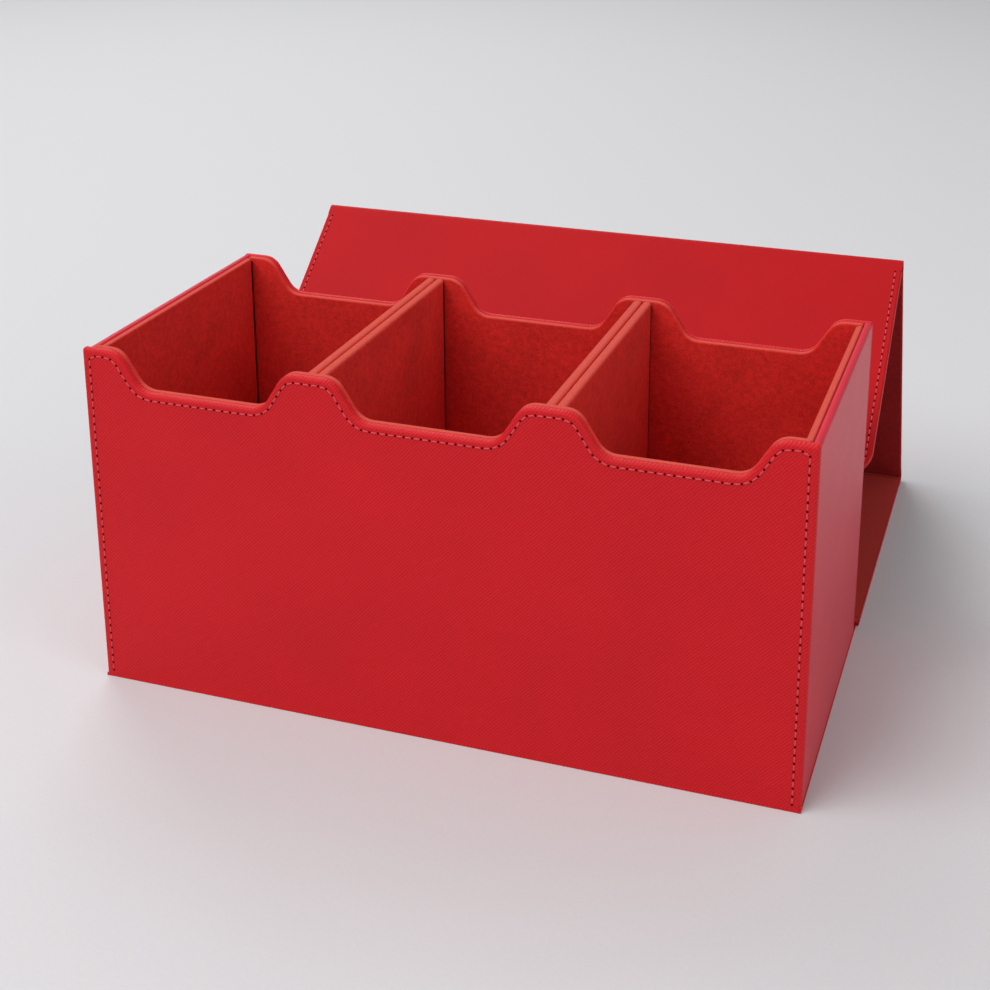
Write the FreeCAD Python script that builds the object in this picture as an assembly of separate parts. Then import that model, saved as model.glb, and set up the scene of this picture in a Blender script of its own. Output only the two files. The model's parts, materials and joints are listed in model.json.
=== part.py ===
import FreeCAD, Part
import math
import os

# Leatherette card deck box: an open tray with three compartments and a long cover strip
# that folds out behind it. Millimetres, +Z up, +X to the right, the front towards -Y.
# The origin is the centre of the tray's underside.

# Driving dimensions
WIDTH = 240.0               # outer width of the front panel
COVER_WIDTH = 242.0         # outer width of the cover's panels
DEPTH = 112.0               # front face to back face of the tray
FRONT_HEIGHT = 120.0        # to the posts of the front panel
WALL_HEIGHT = 119.2         # to the posts of the back wall and the top of the sides
SIDE_INSET = 0.2            # the side walls stand this far inside the front panel's edges
SIDE_BOARD_SHORT = 1.2      # the side boards stop this far below the rolled edge
LEATHER = 0.8               # outer leatherette
SUEDE = 0.6                 # microfibre suede
BOARD = 2.0                 # greyboard of the outer walls and of the cover
THIN_BOARD = 1.6            # greyboard of the linings, dividers and floor pads
LINING_DROP = 0.2           # the back and side linings end this far below the outer walls
DIVIDER_BOARD = 2.2
DIVIDER_SEAM = 0.1          # between the two pads of one divider
FIT = 0.1                   # between parts that are slid into place
CORNER_GAP = 0.8            # open joint where linings and dividers meet the front and back
COMPARTMENTS = 3

# Scalloped top edge of the front and back walls
SCALLOP_DEPTH = 13.0
POST_HALF = 8.4             # half the flat top of a post over a divider
END_POST = 12.4             # flat top of a post at a corner
SLOPE_RUN = 8.2             # sideways travel of each slope
POST_RADIUS = 7.0
VALLEY_RADIUS = 7.0
CORNER_RADIUS = 0.9         # top corners of the walls
TURN_IN = 1.4               # thickness of the leatherette folded over a scalloped wall's edges

# Cover strip: back panel on the floor, top panel leaning over it, flap hanging to the tray
BACK_PANEL = 134.3          # outer face lengths between the fold lines
TOP_PANEL = 131.0
FLAP = 94.0
TOP_LEAN = 25.3             # degrees from upright, towards the tray
FLAP_FALL = 39.3            # degrees below level, towards the tray
FLAP_CORNER = 10.5
SUEDE_MARGIN = 0.4          # from a cover panel's edges to its suede
MIN_CORNER = 0.3            # smallest rounding of a layer's corner
HINGE_GAP = 1.6             # from a fold's axis to the panels beside it
HINGE_BEAD = 1.2            # radius of the soft core along a fold
BEAD_HALF = 119.0           # half the core's length
HINGE_OUT = 1.8             # from the tray's back face to the first fold's axis

# Magnets in the flap and the front panel
MAGNET_RADIUS = 6.0
MAGNET_THICK = 1.5
MAGNET_SPREAD = 70.0        # each side of the middle
MAGNET_HEIGHT = 35.0        # above the floor, in the front panel
MAGNET_FROM_EDGE = 10.0     # from the flap's free edge

EDGE_ROLL = 0.7             # rounding of wrapped edges
FRONT_ROLL = 1.3
GROOVE_ROLL = 0.5           # lining edges against the walls, which leave a groove
PAD_ROLL = 1.3              # tops and ends of the divider pads, and ends of the side linings

HALF_W = WIDTH / 2
FRONT = -DEPTH / 2
BACK = DEPTH / 2
SIDE = HALF_W - SIDE_INSET
WALL = LEATHER + BOARD
LINING = THIN_BOARD + SUEDE
COVER = LEATHER + BOARD + SUEDE
FLOOR = LEATHER + BOARD
DIVIDER = 2 * (DIVIDER_BOARD + 2 * SUEDE) + DIVIDER_SEAM
INNER_HALF_W = SIDE - WALL - LINING
PITCH = (2 * INNER_HALF_W - 2 * DIVIDER) / COMPARTMENTS + DIVIDER
DIVIDER_X = [-PITCH / 2, PITCH / 2]
INNER_FRONT = FRONT + WALL + LINING
INNER_BACK = BACK - WALL - LINING

X = FreeCAD.Vector(1, 0, 0)
Y = FreeCAD.Vector(0, 1, 0)
Z = FreeCAD.Vector(0, 0, 1)
V = FreeCAD.Vector


def box(x0, x1, y0, y1, z0, z1):
    return Part.makeBox(x1 - x0, y1 - y0, z1 - z0, V(x0, y0, z0))


def export(name, shape):
    solid = shape.Solids[0] if len(shape.Solids) == 1 else shape
    solid.exportStep(os.path.join("parts", name + ".step"))
    print(name, round(solid.Volume), solid.isValid(), len(solid.Solids))


def rounded_wire(corners):
    """A closed wire through (point, radius) corners, each corner an arc of its radius."""
    edges = []
    ends = []
    count = len(corners)
    for i, (point, radius) in enumerate(corners):
        before = (corners[i - 1][0] - point).normalize()
        after = (corners[(i + 1) % count][0] - point).normalize()
        if radius == 0:
            ends.append((point, point))
            continue
        half = before.getAngle(after) / 2
        reach = radius / math.tan(half)
        middle = point + (before + after).normalize() * (radius / math.sin(half) - radius)
        ends.append((point + before * reach, point + after * reach))
        edges.append((i, Part.Arc(ends[-1][0], middle, ends[-1][1]).toShape()))
    arcs = dict(edges)
    path = []
    for i in range(count):
        if i in arcs:
            path.append(arcs[i])
        path.append(Part.makeLine(ends[i][1], ends[(i + 1) % count][0]))
    return Part.Wire(path)


def scalloped_outline(half, bottom, top, inset, y):
    """A wall's outline in the plane y, every edge but the bottom moved in by inset."""
    side = half - inset
    crest = top - inset
    valley = crest - SCALLOP_DEPTH
    # a sloping edge moved in by inset shifts sideways by this much at a given height
    lean = math.hypot(SLOPE_RUN, SCALLOP_DEPTH)
    shift = inset * (lean - SLOPE_RUN) / SCALLOP_DEPTH
    posts = [(-HALF_W, -HALF_W + END_POST)]
    posts += [(x - POST_HALF, x + POST_HALF) for x in DIVIDER_X]
    posts += [(HALF_W - END_POST, HALF_W)]
    corners = [(V(side, y, bottom), 0), (V(side, y, crest), CORNER_RADIUS)]
    for i in range(len(posts) - 1, 0, -1):
        start = posts[i][0] + shift
        stop = posts[i - 1][1] - shift
        corners.append((V(start, y, crest), POST_RADIUS - inset))
        corners.append((V(start - SLOPE_RUN, y, valley), VALLEY_RADIUS + inset))
        corners.append((V(stop + SLOPE_RUN, y, valley), VALLEY_RADIUS + inset))
        corners.append((V(stop, y, crest), POST_RADIUS - inset))
    corners += [(V(-side, y, crest), CORNER_RADIUS), (V(-side, y, bottom), 0)]
    return rounded_wire(corners)


def scalloped_plate(half, bottom, top, inset, y0, y1):
    face = Part.Face(scalloped_outline(half, bottom, top, inset, y0))
    return face.extrude(V(0, y1 - y0, 0))


def rolled(shape, chosen, radius):
    """Round the edges that chosen picks by their middle points and lengths."""
    picked = []
    for edge in shape.Edges:
        middle = edge.valueAt((edge.FirstParameter + edge.LastParameter) / 2)
        if chosen(edge, middle):
            picked.append(edge)
    return shape.makeFillet(radius, picked)


def flat_in_y(edge):
    return edge.BoundBox.YLength < 0.001


def upright(edge):
    return edge.BoundBox.ZLength > 10


def outer_scalloped_wall(name, half, top, y_out, y_in):
    """Leatherette over greyboard: the skin turns over the top and both side edges."""
    bottom = LEATHER
    y0, y1 = min(y_out, y_in), max(y_out, y_in)
    body = scalloped_plate(half, bottom, top, 0, y0, y1)

    def visible(edge, middle):
        return flat_in_y(edge) and abs(middle.y - y_out) < 0.01 and middle.z > bottom + 1

    def hidden(edge, middle):
        return flat_in_y(edge) and abs(middle.y - y_in) < 0.01 and middle.z > bottom + 1

    body = rolled(body, visible, FRONT_ROLL)
    body = rolled(body, hidden, EDGE_ROLL)
    skin_side = y_out + math.copysign(LEATHER, y_in - y_out)
    b0, b1 = min(skin_side, y_in), max(skin_side, y_in)
    board = scalloped_plate(half, bottom, top, TURN_IN, b0, b1)
    export(name + "_leather", body.cut(board))
    return board


def scalloped_lining(name, half, top, y_wall, y_inner):
    """A suede-wrapped board glued to the inside of a scalloped wall."""
    y0, y1 = min(y_wall, y_inner), max(y_wall, y_inner)
    body = scalloped_plate(half, FLOOR, top, 0, y0, y1)

    def inner_rim(edge, middle):
        return flat_in_y(edge) and abs(middle.y - y_inner) < 0.01 and middle.z > rim

    def wall_rim(edge, middle):
        return flat_in_y(edge) and abs(middle.y - y_wall) < 0.01 and middle.z > rim

    rim = top - SCALLOP_DEPTH - 1
    body = rolled(body, inner_rim, EDGE_ROLL)
    body = rolled(body, wall_rim, GROOVE_ROLL)
    board_face = y_inner + math.copysign(SUEDE, y_wall - y_inner)
    b0, b1 = min(board_face, y_wall), max(board_face, y_wall)
    board = scalloped_plate(half, FLOOR, top, SUEDE, b0, b1)
    export(name + "_lining_suede", body.cut(board))
    export(name + "_lining_board", board)


def front_and_back():
    front_board = outer_scalloped_wall("front", HALF_W, FRONT_HEIGHT, FRONT, FRONT + WALL)
    for side in (-1, 1):
        centre = V(side * MAGNET_SPREAD, FRONT + WALL - MAGNET_THICK, MAGNET_HEIGHT)
        magnet = Part.makeCylinder(MAGNET_RADIUS, MAGNET_THICK, centre, Y)
        front_board = front_board.cut(magnet)
        export("front_magnet_" + ("left" if side < 0 else "right"), magnet)
    export("front_board", front_board)
    export("back_board", outer_scalloped_wall("back", SIDE, WALL_HEIGHT, BACK, BACK - WALL))
    half = SIDE - WALL
    scalloped_lining("front", half, FRONT_HEIGHT, FRONT + WALL, INNER_FRONT)
    scalloped_lining("back", half, WALL_HEIGHT - LINING_DROP, BACK - WALL, INNER_BACK)


def side_walls():
    for side, name in ((-1, "left"), (1, "right")):
        x_out = side * SIDE
        x_in = side * (SIDE - WALL)
        x_skin = side * (SIDE - LEATHER)
        y0 = FRONT + WALL
        y1 = BACK - WALL
        x0, x1 = sorted((x_out, x_in))
        body = box(x0, x1, y0, y1, LEATHER, WALL_HEIGHT)

        def top_edge(edge, middle):
            return edge.BoundBox.YLength > 10 and middle.z > WALL_HEIGHT - 0.1

        body = rolled(body, top_edge, FRONT_ROLL)
        b0, b1 = sorted((x_skin, x_in))
        board = box(b0, b1, y0, y1, LEATHER, WALL_HEIGHT - SIDE_BOARD_SHORT)
        export(name + "_leather", body.cut(board))
        export(name + "_board", board)

        x_lining = side * INNER_HALF_W
        x_face = side * (INNER_HALF_W + SUEDE)
        x0, x1 = sorted((x_in, x_lining))
        top = WALL_HEIGHT - LINING_DROP
        y0 = INNER_FRONT + CORNER_GAP
        y1 = INNER_BACK - CORNER_GAP
        lining = rolled(box(x0, x1, y0, y1, FLOOR, top),
                        lambda edge, middle: upright(edge) and abs(middle.x - x_lining) < 0.1, PAD_ROLL)
        lining = rolled(lining,
                        lambda edge, middle: edge.BoundBox.YLength > 10 and middle.z > top - 0.1,
                        EDGE_ROLL)
        b0, b1 = sorted((x_in, x_face))
        board = box(b0, b1, y0 + SUEDE, y1 - SUEDE, FLOOR, top - SUEDE)
        export(name + "_lining_suede", lining.cut(board))
        export(name + "_lining_board", board)


def dividers():
    """Each divider is two suede-wrapped pads standing back to back."""
    pad = DIVIDER_BOARD + 2 * SUEDE
    top = WALL_HEIGHT - LINING_DROP
    y0 = INNER_FRONT + CORNER_GAP
    y1 = INNER_BACK - CORNER_GAP
    for number, x_mid in enumerate(DIVIDER_X, 1):
        for side, name in ((-1, "left"), (1, "right")):
            x0, x1 = sorted((x_mid + side * DIVIDER_SEAM / 2, x_mid + side * (DIVIDER_SEAM / 2 + pad)))
            body = rolled(box(x0, x1, y0, y1, FLOOR, top),
                          lambda edge, middle: upright(edge) or
                          (edge.BoundBox.YLength > 10 and middle.z > top - 0.1), PAD_ROLL)
            board = box(x0 + SUEDE, x1 - SUEDE, y0 + SUEDE, y1 - SUEDE, FLOOR, top - SUEDE)
            node = "divider_%d_%s" % (number, name)
            export(node + "_suede", body.cut(board))
            export(node + "_board", board)


def floor():
    export("bottom_leather", box(-HALF_W, HALF_W, FRONT, BACK, 0, LEATHER))
    inside = SIDE - WALL
    export("bottom_board", box(-inside, inside, FRONT + WALL, BACK - WALL, LEATHER, FLOOR))
    middles = [-PITCH, 0, PITCH]
    half = (PITCH - DIVIDER) / 2 - FIT
    for x_mid, name in zip(middles, ("left", "middle", "right")):
        outer = box(x_mid - half, x_mid + half, INNER_FRONT + FIT, INNER_BACK - FIT, FLOOR, FLOOR + LINING)
        board = box(x_mid - half + SUEDE, x_mid + half - SUEDE, INNER_FRONT + FIT + SUEDE,
                    INNER_BACK - FIT - SUEDE, FLOOR, FLOOR + THIN_BOARD)
        export("floor_pad_%s_suede" % name, outer.cut(board))
        export("floor_pad_%s_board" % name, board)


def cover_panel_outline(length, half, inset, corner, n):
    """A panel's outline: length along +Y from 0, its far corners rounded."""
    a = inset
    b = length - inset
    w = half - inset
    corners = [(V(-w, a, n), 0), (V(w, a, n), 0), (V(w, b, n), corner), (V(-w, b, n), corner)]
    return rounded_wire(corners)


def cover_panel(name, length, corner, placement):
    """Leatherette outside with its edges turned up, board inside, suede on the inner face."""
    def layer(inset, n0, n1):
        radius = max(corner - inset, MIN_CORNER) if corner else 0
        wire = cover_panel_outline(length, COVER_WIDTH / 2, inset, radius, n0)
        return Part.Face(wire).extrude(V(0, 0, n1 - n0))

    board = layer(LEATHER, LEATHER, LEATHER + BOARD)
    skin = layer(0, 0, LEATHER + BOARD)

    def free_edge(edge, middle):
        at_fold = middle.y < 0.01 or (corner == 0 and middle.y > length - 0.01)
        return edge.BoundBox.ZLength < 0.001 and middle.z < 0.01 and not at_fold

    skin = rolled(skin, free_edge, EDGE_ROLL).cut(board)
    suede = layer(SUEDE_MARGIN, LEATHER + BOARD, COVER)
    if name == "flap":
        for side in (-1, 1):
            centre = V(side * MAGNET_SPREAD, length - MAGNET_FROM_EDGE, LEATHER + BOARD - MAGNET_THICK)
            magnet = Part.makeCylinder(MAGNET_RADIUS, MAGNET_THICK, centre, Z)
            board = board.cut(magnet)
            magnet.Placement = placement.multiply(magnet.Placement)
            export("flap_magnet_" + ("left" if side < 0 else "right"), magnet)
    for layer_name, shape in (("leather", skin), ("board", board), ("suede", suede)):
        shape.Placement = placement
        export("%s_%s" % (name, layer_name), shape)


def direction(degrees):
    return V(0, math.cos(math.radians(degrees)), math.sin(math.radians(degrees)))


def inner_fold(outer, angle_in, angle_out):
    """Where the inner faces of two panels meet, from their outer faces' fold line."""
    first = direction(angle_in + 90)
    second = direction(angle_out + 90)
    return outer + (first + second) * (COVER / (1 + first.dot(second)))


def cover():
    angles = (0, 90 + TOP_LEAN, 180 + FLAP_FALL)
    fold_top = V(0, BACK + BACK_PANEL, 0)
    fold_flap = fold_top + direction(angles[1]) * TOP_PANEL
    axis_back = V(0, BACK + HINGE_OUT, COVER)
    axis_top = inner_fold(fold_top, angles[0], angles[1])
    axis_flap = inner_fold(fold_flap, angles[1], angles[2])
    flap_end = fold_flap + direction(angles[2]) * FLAP + direction(angles[2] + 90) * COVER
    spans = (("back_panel", axis_back, axis_top, HINGE_GAP, 0),
             ("top_panel", axis_top, axis_flap, HINGE_GAP, 0),
             ("flap", axis_flap, flap_end, 0, FLAP_CORNER))
    for (name, start, stop, end_gap, corner), angle in zip(spans, angles):
        along = direction(angle)
        length = (stop - start).Length - HINGE_GAP - end_gap
        origin = start + along * HINGE_GAP - direction(angle + 90) * COVER
        turn = FreeCAD.Rotation(X, angle)
        cover_panel(name, length, corner, FreeCAD.Placement(origin, turn))
    for name, axis in (("back", axis_back), ("top", axis_top), ("flap", axis_flap)):
        bead = Part.makeCylinder(HINGE_BEAD, 2 * BEAD_HALF, axis - X * BEAD_HALF, X)
        export(name + "_hinge_core", bead)
        print("hinge", name, [round(value / 1000, 6) for value in axis])


os.makedirs("parts", exist_ok=True)
front_and_back()
side_walls()
dividers()
floor()
cover()
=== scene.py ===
# Three-compartment card deck box with its cover opened out: the looks of the CAD nodes, and
# the folds, corner joints and seams that go round them. All in metres, in the CAD's frame.
import bmesh
import bpy
import json
import math
from mathutils import Matrix, Vector


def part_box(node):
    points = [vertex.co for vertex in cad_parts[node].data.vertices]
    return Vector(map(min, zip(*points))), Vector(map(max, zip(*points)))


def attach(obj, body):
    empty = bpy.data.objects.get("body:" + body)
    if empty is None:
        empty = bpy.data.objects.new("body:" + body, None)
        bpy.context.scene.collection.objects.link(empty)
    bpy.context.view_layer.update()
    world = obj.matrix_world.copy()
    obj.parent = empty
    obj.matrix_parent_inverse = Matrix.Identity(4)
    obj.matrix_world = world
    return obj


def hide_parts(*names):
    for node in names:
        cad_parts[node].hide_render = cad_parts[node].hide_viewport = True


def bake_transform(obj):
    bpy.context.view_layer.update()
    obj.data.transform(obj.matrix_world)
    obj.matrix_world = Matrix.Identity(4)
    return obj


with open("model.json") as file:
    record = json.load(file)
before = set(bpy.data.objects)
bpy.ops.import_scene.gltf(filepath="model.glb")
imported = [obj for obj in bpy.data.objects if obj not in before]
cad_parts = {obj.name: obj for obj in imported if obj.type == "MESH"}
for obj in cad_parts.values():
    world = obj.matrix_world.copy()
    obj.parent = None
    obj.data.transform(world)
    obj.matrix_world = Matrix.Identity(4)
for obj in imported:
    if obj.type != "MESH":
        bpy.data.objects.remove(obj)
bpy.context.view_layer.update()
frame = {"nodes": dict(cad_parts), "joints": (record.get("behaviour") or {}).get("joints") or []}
MM = 0.001
nodes = frame["nodes"]


# Front panel: a scalloped greyboard with cross-grained PU leatherette turned over its top
# and sides and glued down. The film is embossed with fine slanting ridges, crossed by a
# weaker set, only a few hundredths of a millimetre deep, and has a low, broken gloss.
def srgb(code):
    """A hex colour as the linear colour that a shader takes."""
    parts = [int(code[i:i + 2], 16) / 255 for i in (0, 2, 4)]
    linear = [p / 12.92 if p <= 0.04045 else ((p + 0.055) / 1.055) ** 2.4 for p in parts]
    return (*linear, 1.0)


def scaled(colour, factor):
    """A linear colour made lighter or darker."""
    return (*[min(c * factor, 1.0) for c in colour[:3]], 1.0)


def node(tree, kind, settings=None, **inputs):
    """Add a shader node; each input is a value, or the socket that feeds it.

    i0, i1 and so on are inputs by number; in a name, an underscore stands for a space.
    """
    made = tree.nodes.new("ShaderNode" + kind)
    for name, value in (settings or {}).items():
        setattr(made, name, value)
    for name, value in inputs.items():
        key = int(name[1:]) if name[0] == "i" and name[1:].isdigit() else name.replace("_", " ")
        if isinstance(value, bpy.types.NodeSocket):
            tree.links.new(value, made.inputs[key])
        else:
            made.inputs[key].default_value = value
    return made


def new_material(name):
    """An empty material, with its node tree and the Object coordinates for its patterns."""
    material = bpy.data.materials.new(name)
    material.use_nodes = True
    material.node_tree.nodes.clear()
    tree = material.node_tree
    return material, tree, node(tree, "TexCoord").outputs["Object"]


def surface(tree, shader):
    node(tree, "OutputMaterial", Surface=shader.outputs[0])


def dress(name, material):
    slots = nodes[name].data.materials
    slots.clear()
    slots.append(material)


# A wave texture's bands are this far apart at a scale of 1.
WAVE_PITCH = math.pi / 10
RIDGE_PITCH = 0.86 * MM
RIDGE_ANGLE = 44
CROSS_PITCH = 1.2 * MM
CROSS_ANGLE = -38
CROSS_SHARE = 0.3
PORE_SHARE = 0.7
EMBOSS_DEPTH = 0.1 * MM


def embossed_leatherette(name, turn, colour="CF151E", emboss=1.0, gloss=0.22):
    """turn lays the grain in the panel's plane. Pores are drawn as coarse as they need to show."""
    pore = 0.5 * MM
    sway_width = 7 * MM
    sway_reach = 0.5 * MM
    dye_patch = 50 * MM
    material, tree, place = new_material(name)
    flat = node(tree, "Mapping", Vector=place, Rotation=(math.radians(turn), 0, 0)).outputs[0]
    sway = node(tree, "TexNoise", Vector=flat, Scale=1 / sway_width, Detail=2.0)
    bent = node(tree, "VectorMath", {"operation": "MULTIPLY_ADD"}, i0=sway.outputs["Color"],
                i1=(sway_reach, sway_reach, 0), i2=flat).outputs[0]
    waves = []
    for angle, pitch in ((RIDGE_ANGLE, RIDGE_PITCH), (CROSS_ANGLE, CROSS_PITCH)):
        turned = node(tree, "Mapping", Vector=bent, Rotation=(0, 0, math.radians(angle)))
        wave = node(tree, "TexWave", {"bands_direction": "X"}, Vector=turned.outputs[0],
                    Scale=WAVE_PITCH / pitch, Distortion=0.8, Detail=2.0, Detail_Scale=2.0)
        waves.append(wave.outputs["Fac"])
    ridges = node(tree, "Math", {"operation": "MULTIPLY_ADD"}, i0=waves[1], i1=CROSS_SHARE,
                  i2=waves[0]).outputs[0]
    pores = node(tree, "TexNoise", Vector=flat, Scale=1 / pore, Detail=3.0, Roughness=0.65)
    height = node(tree, "Math", {"operation": "MULTIPLY_ADD"}, i0=pores.outputs["Fac"],
                  i1=PORE_SHARE, i2=ridges).outputs[0]
    bump = node(tree, "Bump", Strength=0.65 * emboss, Distance=EMBOSS_DEPTH, Height=height)
    broad = node(tree, "TexNoise", Vector=flat, Scale=1 / dye_patch, Detail=3.0, Roughness=0.6)
    base = srgb(colour)
    tone = node(tree, "Mix", {"data_type": "RGBA"}, i0=broad.outputs["Fac"],
                i6=scaled(base, 0.88), i7=scaled(base, 1.12))
    # Painted shade: the colour darkens where the embossed height is low, standing for the shadow
    # in the grain's hollows.
    shade = node(tree, "MapRange", Value=height, From_Min=0.35, From_Max=1.5,
                 To_Min=1.0 - 0.22 * emboss, To_Max=1.0 + 0.08 * emboss)
    tone_with_painted_hollow_shade = node(tree, "Mix", {"data_type": "RGBA", "blend_type": "MULTIPLY"}, i0=1.0,
                 i6=tone.outputs[2], i7=shade.outputs[0])
    rough = node(tree, "MapRange", Value=pores.outputs["Fac"], To_Min=0.46, To_Max=0.6)
    film = node(tree, "BsdfPrincipled", Base_Color=tone_with_painted_hollow_shade.outputs[2], Normal=bump.outputs[0],
                Roughness=rough.outputs[0], IOR=1.48, Specular_IOR_Level=gloss,
                Sheen_Weight=0.05, Sheen_Roughness=0.4, Sheen_Tint=srgb("F0A4AC"))
    surface(tree, film)
    return material


STANDING = -90
LYING = 0
upright_grain = embossed_leatherette("cross_grain_leatherette_upright", STANDING)
dress("front_leather", upright_grain)


# Side walls: the same film pressed nearly smooth over greyboard, so it takes a pale gloss
# from whatever stands beside it. Fine pores are all the texture it has, drawn a little
# coarser than real ones so that they show.
def smooth_leatherette():
    pore = 0.6 * MM
    board_wave = 18 * MM
    material, tree, place = new_material("smooth_leatherette_side")
    pores = node(tree, "TexNoise", Vector=place, Scale=1 / pore, Detail=4.0, Roughness=0.7)
    waves = node(tree, "TexNoise", Vector=place, Scale=1 / board_wave, Detail=2.0)
    height = node(tree, "Math", {"operation": "MULTIPLY_ADD"}, i0=waves.outputs["Fac"], i1=4.0,
                  i2=pores.outputs["Fac"]).outputs[0]
    bump = node(tree, "Bump", Strength=0.25, Distance=0.06 * MM, Height=height)
    base = srgb("CA2638")
    tone = node(tree, "Mix", {"data_type": "RGBA"}, i0=waves.outputs["Fac"],
                i6=scaled(base, 0.9), i7=scaled(base, 1.1))
    rough = node(tree, "MapRange", Value=pores.outputs["Fac"], To_Min=0.3, To_Max=0.42)
    film = node(tree, "BsdfPrincipled", Base_Color=tone.outputs[2], Normal=bump.outputs[0],
                Roughness=rough.outputs[0], IOR=1.5, Specular_IOR_Level=0.1)
    surface(tree, film)
    return material


side_film = smooth_leatherette()
for side in ("left", "right"):
    dress(side + "_leather", side_film)


# Back wall and underside: the cross-grained film again, standing up on the back wall and
# lying flat under the bottom board.
dress("back_leather", upright_grain)
dress("bottom_leather", embossed_leatherette("cross_grain_leatherette_flat", LYING))


# Greyboard cores: pulp board cut to shape, all of it hidden inside the coverings, with the
# faint fibre fleck of recycled pulp. The magnets set into two of them are nickel plated and
# gleam a soft warm grey.
def flecked(name, fleck, dark, light, detail=3.0, **finish):
    """A plain material that wanders between two colours in flecks of one size."""
    material, tree, place = new_material(name)
    flecks = node(tree, "TexNoise", Vector=place, Scale=1 / fleck, Detail=detail)
    tone = node(tree, "Mix", {"data_type": "RGBA"}, i0=flecks.outputs["Fac"], i6=srgb(dark),
                i7=srgb(light))
    surface(tree, node(tree, "BsdfPrincipled", Base_Color=tone.outputs[2], **finish))
    return material


def nickel_plate():
    material, tree, place = new_material("satin_nickel_plate")
    haze = node(tree, "TexNoise", Vector=place, Scale=1 / (1.5 * MM), Detail=2.0)
    rough = node(tree, "MapRange", Value=haze.outputs["Fac"], To_Min=0.28, To_Max=0.42)
    surface(tree, node(tree, "BsdfPrincipled", Base_Color=srgb("C4C1B8"), Metallic=1.0,
                       Roughness=rough.outputs[0]))
    return material


board_pulp = flecked("pulp_greyboard", 0.8 * MM, "7F7A71", "A09A8F", Roughness=0.9)
nickel = nickel_plate()
for name in nodes:
    if name.endswith("_board"):
        dress(name, board_pulp)
    elif "magnet" in name:
        dress(name, nickel)


# Linings, dividers and floor pads: thin boards wrapped in microfibre suede, a short dense
# nap with no gloss. It is mottled where it has been brushed both ways. Faces that look
# upwards, such as the wrapped top edges, are painted much paler: a painted highlight.
def suede(name, colour, painted_top_highlight, fleck=1.0):
    """Its fibres are drawn coarser than real ones, as coarse as they need to show."""
    fibre = 0.45 * MM
    clump = 2.2 * MM
    brush_mark = 24 * MM
    material, tree, place = new_material(name)
    fibres = node(tree, "TexNoise", Vector=place, Scale=1 / fibre, Detail=3.0, Roughness=0.8)
    clumps = node(tree, "TexNoise", Vector=place, Scale=1 / clump, Detail=4.0, Roughness=0.75)
    brushed = node(tree, "TexNoise", Vector=place, Scale=1 / brush_mark, Detail=3.0,
                   Distortion=0.8)
    half_brushed = node(tree, "Math", {"operation": "MULTIPLY"}, i0=brushed.outputs["Fac"],
                        i1=0.25).outputs[0]
    mottle = node(tree, "Math", {"operation": "MULTIPLY_ADD"}, i0=clumps.outputs["Fac"], i1=0.5,
                  i2=half_brushed).outputs[0]
    spread = node(tree, "MapRange", Value=mottle, From_Min=0.26, From_Max=0.5)
    base = srgb(colour)
    tone = node(tree, "Mix", {"data_type": "RGBA"}, i0=spread.outputs[0],
                i6=scaled(base, 1 - 0.28 * fleck), i7=scaled(base, 1 + 0.25 * fleck))
    # Painted highlight: faces that look upwards are mixed towards a paler colour, as if lit from
    # above.
    up = node(tree, "SeparateXYZ", Vector=node(tree, "NewGeometry").outputs["Normal"]).outputs[2]
    top_highlight_mask = node(tree, "MapRange", {"interpolation_type": "SMOOTHSTEP"}, Value=up,
                  From_Min=0.35, From_Max=0.95)
    pile_with_painted_highlight = node(tree, "Mix", {"data_type": "RGBA"}, i0=top_highlight_mask.outputs[0], i6=tone.outputs[2],
                i7=srgb(painted_top_highlight))
    speckle = node(tree, "MapRange", Value=fibres.outputs["Fac"], From_Min=0.3, From_Max=0.7,
                   To_Min=1 - 0.3 * fleck, To_Max=1 + 0.2 * fleck)
    grown = node(tree, "Mix", {"data_type": "RGBA", "blend_type": "MULTIPLY"}, i0=1.0,
                 i6=pile_with_painted_highlight.outputs[2], i7=speckle.outputs[0])
    height = node(tree, "Math", {"operation": "MULTIPLY_ADD"}, i0=fibres.outputs["Fac"], i1=0.6,
                  i2=clumps.outputs["Fac"]).outputs[0]
    bump = node(tree, "Bump", Strength=0.45, Distance=0.35 * MM, Height=height)
    cloth = node(tree, "BsdfPrincipled", Base_Color=grown.outputs[2], Normal=bump.outputs[0],
                 Roughness=0.95, Specular_IOR_Level=0.1, Sheen_Weight=0.25,
                 Sheen_Roughness=0.5, Sheen_Tint=srgb("E8685A"))
    surface(tree, cloth)
    return material


# The third colour is the painted highlight on faces that look upwards; the floor's is its own
# colour.
wall_suede = suede("microfibre_suede_lining", "D82E29", "CE5246", fleck=0.8)
floor_suede = suede("microfibre_suede_floor", "A81A1A", "A81A1A")
for name in nodes:
    if name.startswith("floor_pad") and name.endswith("_suede"):
        dress(name, floor_suede)
    elif name.startswith("divider") and name.endswith("_suede"):
        dress(name, wall_suede)
    elif name.endswith("_lining_suede"):
        dress(name, wall_suede)


# Corner shade: each pad's suede is turned in round its ends and glued up against the front
# and back linings, which leaves a deep crease in every corner of the compartments. A dark
# block set into each crease is painted shade, standing for the shadow deep inside it.
SHARP_EDGE = math.radians(50)


def new_piece(name, bm, material):
    """A finished object from a bmesh: outward faces, smooth but for its sharp edges."""
    bmesh.ops.recalc_face_normals(bm, faces=bm.faces)
    for face in bm.faces:
        face.smooth = True
    for edge in bm.edges:
        edge.smooth = edge.calc_face_angle(0) < SHARP_EDGE
    mesh = bpy.data.meshes.new(name)
    bm.to_mesh(mesh)
    bm.free()
    mesh.materials.append(material)
    piece = bpy.data.objects.new(name, mesh)
    bpy.context.scene.collection.objects.link(piece)
    return piece


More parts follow.
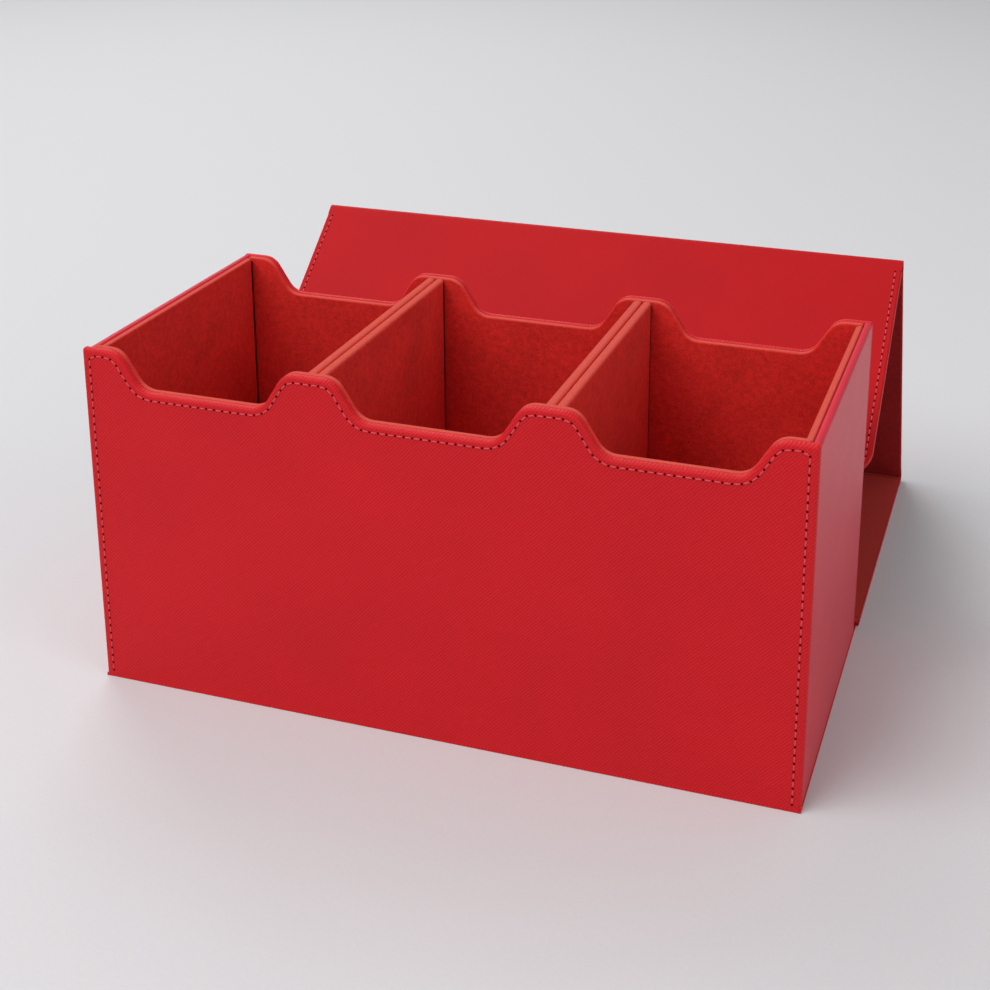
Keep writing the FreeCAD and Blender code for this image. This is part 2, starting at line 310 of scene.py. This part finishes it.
CREASE_INSET = 0.3 * MM
CREASE_DROP = 1.5 * MM
# Painted shade: a near-black suede colour for the blocks set into the corner creases.
crease_shade_material = flecked("microfibre_suede_crease", 0.8 * MM, "22050A", "4A0A10", Roughness=1.0,
                       Specular_IOR_Level=0.0)
inner_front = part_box("front_lining_suede")[1].y
inner_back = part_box("back_lining_suede")[0].y
pads = ["left_lining", "divider_1_left", "divider_1_right", "divider_2_left", "divider_2_right",
        "right_lining"]
for pad in pads:
    low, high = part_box(pad + "_suede")
    top = high.z - CREASE_DROP
    joints = bmesh.new()
    for near, far in ((inner_front, low.y), (high.y, inner_back)):
        middle = Vector(((low.x + high.x) / 2, (near + far) / 2, (low.z + top) / 2))
        size = Matrix.Diagonal((high.x - low.x - 2 * CREASE_INSET, far - near, top - low.z, 1))
        bmesh.ops.create_cube(joints, size=1, matrix=Matrix.Translation(middle) @ size)
    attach(new_piece(pad + "_painted_corner_shade", joints, crease_shade_material), "tray")


# Cover panels: back panel on the floor, top panel leaning over it and flap hanging towards
# the tray. Outside they wear one strip of thinner film with a fainter grain, inside suede.
back_axis, top_axis, flap_axis = [Vector(joint["pos_m"]) for joint in frame["joints"]]
thickness = back_axis.z
FLAP_FALL = math.radians(39.3)
back_along = Vector((0, 1, 0))
top_along = (flap_axis - top_axis).normalized()
flap_along = Vector((0, -math.cos(FLAP_FALL), -math.sin(FLAP_FALL)))


def outward(along):
    """The way a panel's leatherette faces, from the way the panel runs."""
    return Vector((0, along.z, -along.y))


def lie(along):
    """The turn that lays the grain in the plane of a panel that runs this way."""
    return -math.degrees(math.atan2(along.z, along.y))


films = {}
cover_suede = suede("microfibre_suede_cover", "9E2224", "B83A34", fleck=0.8)
for panel, along in (("back_panel", back_along), ("top_panel", top_along), ("flap", flap_along)):
    films[panel] = embossed_leatherette("cross_grain_leatherette_" + panel, lie(along),
                                        colour="B81118", emboss=0.3, gloss=0.12)
    dress(panel + "_leather", films[panel])
    dress(panel + "_suede", cover_suede)


# Folds: between panels the strip is only leatherette outside and suede inside, with no
# board, so it bends there.
ARC_STEP = 0.4 * MM


def arc_path(corners):
    """Points along an open path whose inner corners are arcs, each of its own radius."""
    points = [corners[0][0]]
    for i in range(1, len(corners) - 1):
        corner, radius = corners[i]
        before = (corners[i - 1][0] - corner).normalized()
        after = (corners[i + 1][0] - corner).normalized()
        half = before.angle(after) / 2
        reach = radius / math.tan(half)
        centre = corner + (before + after).normalized() * (radius / math.sin(half))
        first = (corner + before * reach - centre).normalized()
        last = (corner + after * reach - centre).normalized()
        count = max(3, round(radius * (math.pi - 2 * half) / ARC_STEP))
        for k in range(count + 1):
            points.append(centre + first.slerp(last, k / count) * radius)
    points.append(corners[-1][0])
    return points


def fold_skin(name, line, lean_in, lean_out, skin_thickness, half, material):
    """A band of even thickness: its section is pushed out along the fold's length."""
    bm = bmesh.new()
    near = []
    far = []
    for k, point in enumerate(line):
        share = k / (len(line) - 1)
        inward = lean_in.lerp(lean_out, share).normalized()
        near.append(bm.verts.new(point - Vector((half, 0, 0))))
        far.append(bm.verts.new(point + inward * skin_thickness - Vector((half, 0, 0))))
    strips = []
    for k in range(len(line) - 1):
        strips.append(bm.faces.new((near[k], near[k + 1], far[k + 1], far[k])))
    pushed = bmesh.ops.extrude_face_region(bm, geom=strips, use_keep_orig=True)
    moved = [item for item in pushed["geom"] if isinstance(item, bmesh.types.BMVert)]
    bmesh.ops.translate(bm, verts=moved, vec=(2 * half, 0, 0))
    return new_piece(name, bm, material)


FILM = 0.8 * MM
NAP = 0.6 * MM
HINGE_GAP = 1.6 * MM
FOLD_RADIUS = 2.0 * MM
SUEDE_MARGIN = 0.4 * MM
SUEDE_RISE = 0.2 * MM
half_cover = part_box("back_panel_leather")[1].x
half_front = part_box("front_leather")[1].x
tray_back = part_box("back_leather")[1].y
folds = (("back", "back_panel", "tray", "back_panel", back_axis, back_along, back_along),
         ("top", "top_panel", "back_panel", "top_panel", top_axis, back_along, top_along),
         ("flap", "flap", "top_panel", "front_flap", flap_axis, top_along, flap_along))
for name, panel, body_a, body_b, axis, along_a, along_b in folds:
    out_a = outward(along_a)
    out_b = outward(along_b)
    start = axis - along_a * HINGE_GAP + out_a * thickness
    stop = axis + along_b * HINGE_GAP + out_b * thickness
    if name == "back":
        half = half_front
        start = Vector((0, tray_back, 0))
        outer_line = [start, start.lerp(stop, 0.5), stop]
    else:
        half = half_cover
        ridge = axis + (out_a + out_b) * (thickness / (1 + out_a.dot(out_b)))
        outer_line = arc_path([(start, 0), (ridge, FOLD_RADIUS), (stop, 0)])
    outer = fold_skin(name + "_fold_leatherette", outer_line, -out_a, -out_b, FILM, half,
                      films[panel])
    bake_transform(outer)
    length = sum((b - a).length for a, b in zip(outer_line, outer_line[1:]))
    inner_start = axis - along_a * HINGE_GAP
    inner_stop = axis + along_b * HINGE_GAP
    inner_line = [inner_start, axis + (out_a + out_b) * SUEDE_RISE, inner_stop]
    inner = fold_skin(name + "_fold_suede", inner_line, out_a, out_b, NAP,
                      half_cover - SUEDE_MARGIN, cover_suede)
    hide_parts(name + "_hinge_core")
    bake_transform(inner)


# Seams: lockstitched polyester thread, paler than the film. Each stitch is a short plump
# loop of twisted yarn pulled down into the needle hole at either end of it. The twist is
# drawn as coarse as it needs to show; its paler bands are painted highlight on the plies.
def polyester_thread():
    twist_pitch = 0.35 * MM
    material, tree, place = new_material("polyester_thread")
    plies = node(tree, "TexWave", {"bands_direction": "DIAGONAL"}, Vector=place,
                 Scale=WAVE_PITCH / twist_pitch)
    # Partly painted highlight: the ply bands run between the yarn's red and a much paler red,
    # which stands for light caught on each ply's crest.
    tone = node(tree, "Mix", {"data_type": "RGBA"}, i0=plies.outputs["Fac"], i6=srgb("C22A32"),
                i7=srgb("E8646A"))
    bump = node(tree, "Bump", Strength=0.4, Distance=0.05 * MM, Height=plies.outputs["Fac"])
    surface(tree, node(tree, "BsdfPrincipled", Base_Color=tone.outputs[2], Roughness=0.5,
                       Normal=bump.outputs[0], Specular_IOR_Level=0.25))
    return material


def spaced(points, pitch):
    """The path cut into equal steps, as near to pitch as they come."""
    lengths = [0.0]
    for a, b in zip(points, points[1:]):
        lengths.append(lengths[-1] + (b - a).length)
    count = round(lengths[-1] / pitch)
    places = []
    i = 0
    for k in range(count + 1):
        target = lengths[-1] * k / count
        while i < len(points) - 2 and lengths[i + 1] < target:
            i += 1
        share = (target - lengths[i]) / (lengths[i + 1] - lengths[i])
        places.append(points[i].lerp(points[i + 1], share))
    return places


STITCH_PITCH = 2.85 * MM
STITCH_REACH = 0.36
THREAD = 0.26 * MM
THREAD_FLATNESS = 0.9
THREAD_LIFT = 0.35
HOLE = 0.42 * MM
HOLE_FLATNESS = 0.25
yarn = polyester_thread()
# Painted shade: each needle hole is a flat dark disc set into the film, standing for the shadow
# inside the punched hole.
hole_shadow = flecked("painted_hole_shade", 0.4 * MM, "42040A", "6C0A12", detail=2.0,
                      Roughness=1.0, Specular_IOR_Level=0.0)


def seam(name, corners, normal, body):
    """A row of stitches on a panel that faces along normal, with a dark disc of painted shade in
    each needle hole.
    """
    places = spaced(arc_path(corners), STITCH_PITCH)
    stitches = bmesh.new()
    for start, stop in zip(places, places[1:]):
        along = (stop - start).normalized()
        turn = Matrix((along, normal.cross(along), normal)).transposed().to_4x4()
        size = Matrix.Diagonal(((stop - start).length * STITCH_REACH, THREAD,
                                THREAD * THREAD_FLATNESS, 1))
        middle = Matrix.Translation(start.lerp(stop, 0.5) + normal * THREAD * THREAD_LIFT)
        poles = Matrix.Rotation(math.pi / 2, 4, "Y")
        bmesh.ops.create_uvsphere(stitches, u_segments=8, v_segments=6, radius=1,
                                  matrix=middle @ turn @ size @ poles)
    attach(new_piece(name + "_stitches", stitches, yarn), body)
    holes = bmesh.new()
    face_on = normal.to_track_quat("Z", "Y").to_matrix().to_4x4()
    flat = Matrix.Diagonal((HOLE, HOLE, HOLE * HOLE_FLATNESS, 1))
    for place in places:
        bmesh.ops.create_uvsphere(holes, u_segments=8, v_segments=4, radius=1,
                                  matrix=Matrix.Translation(place) @ face_on @ flat)
    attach(new_piece(name + "_hole_shade_discs", holes, hole_shadow), body)


# Scalloped seams: on the front panel and the back wall the row runs up one side, follows
# the scallops a little below the turned edge, and comes down the other side.
SCALLOP_DEPTH = 13 * MM
POST_HALF = 8.4 * MM
END_POST = 12.4 * MM
SLOPE_RUN = 8.2 * MM
POST_RADIUS = 7 * MM
VALLEY_RADIUS = 7 * MM
SIDE_ROW = 2.8 * MM
TOP_ROW = 2.2 * MM
SEAM_FOOT = 2.5 * MM
SEAM_CORNER = 1.2 * MM


def scalloped_row(wall, y):
    """The corners of the row, each with the radius that it is rounded to."""
    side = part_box(wall)[1].x - SIDE_ROW
    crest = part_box(wall)[1].z - TOP_ROW
    valley = crest - SCALLOP_DEPTH
    shift = TOP_ROW * (math.hypot(SLOPE_RUN, SCALLOP_DEPTH) - SLOPE_RUN) / SCALLOP_DEPTH
    posts = [-half_front + END_POST / 2]
    for divider in ("divider_1", "divider_2"):
        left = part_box(divider + "_left_suede")[0].x
        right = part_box(divider + "_right_suede")[1].x
        posts.append((left + right) / 2)
    posts.append(half_front - END_POST / 2)
    halves = [END_POST / 2, POST_HALF, POST_HALF, END_POST / 2]
    corners = [(Vector((-side, y, SEAM_FOOT)), 0), (Vector((-side, y, crest)), SEAM_CORNER)]
    for i in range(len(posts) - 1):
        start = posts[i] + halves[i] - shift
        stop = posts[i + 1] - halves[i + 1] + shift
        corners.append((Vector((start, y, crest)), POST_RADIUS - TOP_ROW))
        corners.append((Vector((start + SLOPE_RUN, y, valley)), VALLEY_RADIUS + TOP_ROW))
        corners.append((Vector((stop - SLOPE_RUN, y, valley)), VALLEY_RADIUS + TOP_ROW))
        corners.append((Vector((stop, y, crest)), POST_RADIUS - TOP_ROW))
    corners += [(Vector((side, y, crest)), SEAM_CORNER), (Vector((side, y, SEAM_FOOT)), 0)]
    return corners


seam("front_seam", scalloped_row("front_leather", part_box("front_leather")[0].y),
     Vector((0, -1, 0)), "tray")
seam("back_seam", scalloped_row("back_leather", tray_back), Vector((0, 1, 0)), "tray")


# Cover seams: a row along each long edge of the strip, and one row that goes down the
# flap's side, round its two free corners and back up.
EDGE_ROW = 2.3 * MM
ROW_START = 2.5 * MM
FLAP_CORNER = 10.5 * MM


def on_panel(axis, along, x, distance):
    """A point on a panel's leatherette, at a distance from its fold's axis."""
    return axis + along * distance + outward(along) * thickness + Vector((x, 0, 0))


row_x = half_cover - EDGE_ROW
spans = (("back_panel", back_axis, back_along, (top_axis - back_axis).length),
         ("top_panel", top_axis, top_along, (flap_axis - top_axis).length))
for panel, axis, along, length in spans:
    for side, x in (("left", -row_x), ("right", row_x)):
        ends = [(on_panel(axis, along, x, distance), 0)
                for distance in (ROW_START, length - ROW_START)]
        seam(panel + "_seam_" + side, ends, outward(along), panel)
flap_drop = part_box("flap_leather")[0].z - on_panel(flap_axis, flap_along, 0, 0).z
far_row = flap_drop / flap_along.z - EDGE_ROW
flap_row = [(on_panel(flap_axis, flap_along, -row_x, ROW_START), 0),
            (on_panel(flap_axis, flap_along, -row_x, far_row), FLAP_CORNER - EDGE_ROW),
            (on_panel(flap_axis, flap_along, row_x, far_row), FLAP_CORNER - EDGE_ROW),
            (on_panel(flap_axis, flap_along, row_x, ROW_START), 0)]
seam("flap_seam", flap_row, outward(flap_along), "front_flap")


# Stage: a pale seamless paper floor just under the box, a large soft light above the front
# left, a weaker one behind, a small one at the right, and an even pale room around them.
FLOOR_HALF = 8.0
PAPER_DROP = 0.1 * MM
paper = flecked("seamless_paper", 1.2 * MM, "CECED0", "D4D4D6", detail=2.0, Roughness=0.85)
paper_sheet = bmesh.new()
bmesh.ops.create_grid(paper_sheet, x_segments=4, y_segments=4, size=FLOOR_HALF,
                      matrix=Matrix.Translation((0, 0, -PAPER_DROP)))
floor_mesh = bpy.data.meshes.new("studio_floor")
paper_sheet.to_mesh(floor_mesh)
paper_sheet.free()
floor_mesh.materials.append(paper)
studio_floor = bpy.data.objects.new("studio_floor", floor_mesh)
bpy.context.scene.collection.objects.link(studio_floor)
LIT_POINT = Vector((0, 0, 0.05))


def softbox(name, place, size, power):
    light = bpy.data.lights.new(name, "AREA")
    light.shape = "RECTANGLE"
    light.size = size
    light.size_y = size
    light.energy = power
    lamp = bpy.data.objects.new(name, light)
    lamp.location = place
    lamp.rotation_euler = (LIT_POINT - Vector(place)).to_track_quat("-Z", "Y").to_euler()
    bpy.context.scene.collection.objects.link(lamp)


softbox("key_softbox", place=(-0.7, -0.9, 1.65), size=1.4, power=25)
softbox("rear_softbox", place=(-0.9, 1.2, 1.4), size=1.2, power=13)
softbox("right_softbox", place=(1.4, -0.6, 0.8), size=0.9, power=5)
room = bpy.data.worlds.new("pale_room")
bpy.context.scene.world = room
room.use_nodes = True
room.node_tree.nodes["Background"].inputs["Color"].default_value = srgb("F2F2F4")
room.node_tree.nodes["Background"].inputs["Strength"].default_value = 0.48
bpy.context.scene.view_settings.view_transform = "Standard"


# Camera: above the box and to its right, looking down and across to the left. The lens is
# shifted so that the uprights stay nearly upright.
lens = bpy.data.cameras.new("camera")
lens.sensor_width = 36
lens.lens = 60.1
lens.shift_x = -0.0529
lens.shift_y = -0.2797
camera = bpy.data.objects.new("camera", lens)
camera.location = (0.1806, -0.4857, 0.3116)
turned = Matrix.Rotation(math.radians(18.245), 3, "Z")
tipped = Matrix.Rotation(math.radians(73.678), 3, "X")
rolled = Matrix.Rotation(math.radians(0.227), 3, "Z")
camera.rotation_euler = (turned @ tipped @ rolled).to_euler()
bpy.context.scene.collection.objects.link(camera)
bpy.context.scene.camera = camera
